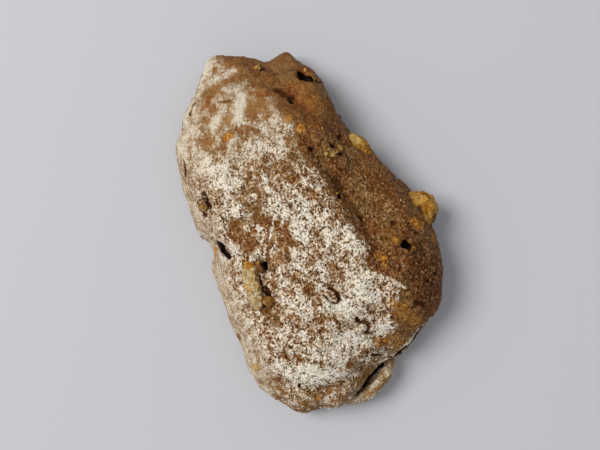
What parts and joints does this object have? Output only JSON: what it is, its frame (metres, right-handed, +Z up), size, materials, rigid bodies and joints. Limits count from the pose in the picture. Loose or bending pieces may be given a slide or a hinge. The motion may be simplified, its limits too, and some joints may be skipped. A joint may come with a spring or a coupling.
{
  "type": "walnut ciabatta loaf",
  "caption": "Small floured walnut ciabatta lying on its flat base, with a steep floured flank, a bare sloping flank and pieces of walnut that stick out of the crust.",
  "frame": {"origin": "on the plane the loaf stands on, under the middle of its bounding box", "axes": "+X along the loaf towards its pointed end, +Y towards the steep floured flank, +Z up from the base"},
  "size_m": [0.1695, 0.1052, 0.0466],
  "materials": {
    "crust": "dull brown bread crust, mottled with cream flour",
    "walnut": "roasted walnut kernel, golden flesh with thin brown skin"
  },
  "bodies": {
    "root": {"loaf": "crust", "walnut_rim_large": "walnut", "walnut_rim_slab": "walnut", "walnut_floured": "walnut", "walnut_waist": "walnut", "walnut_lower": "walnut", "walnut_left": "walnut"}
  },
  "joints": []
}
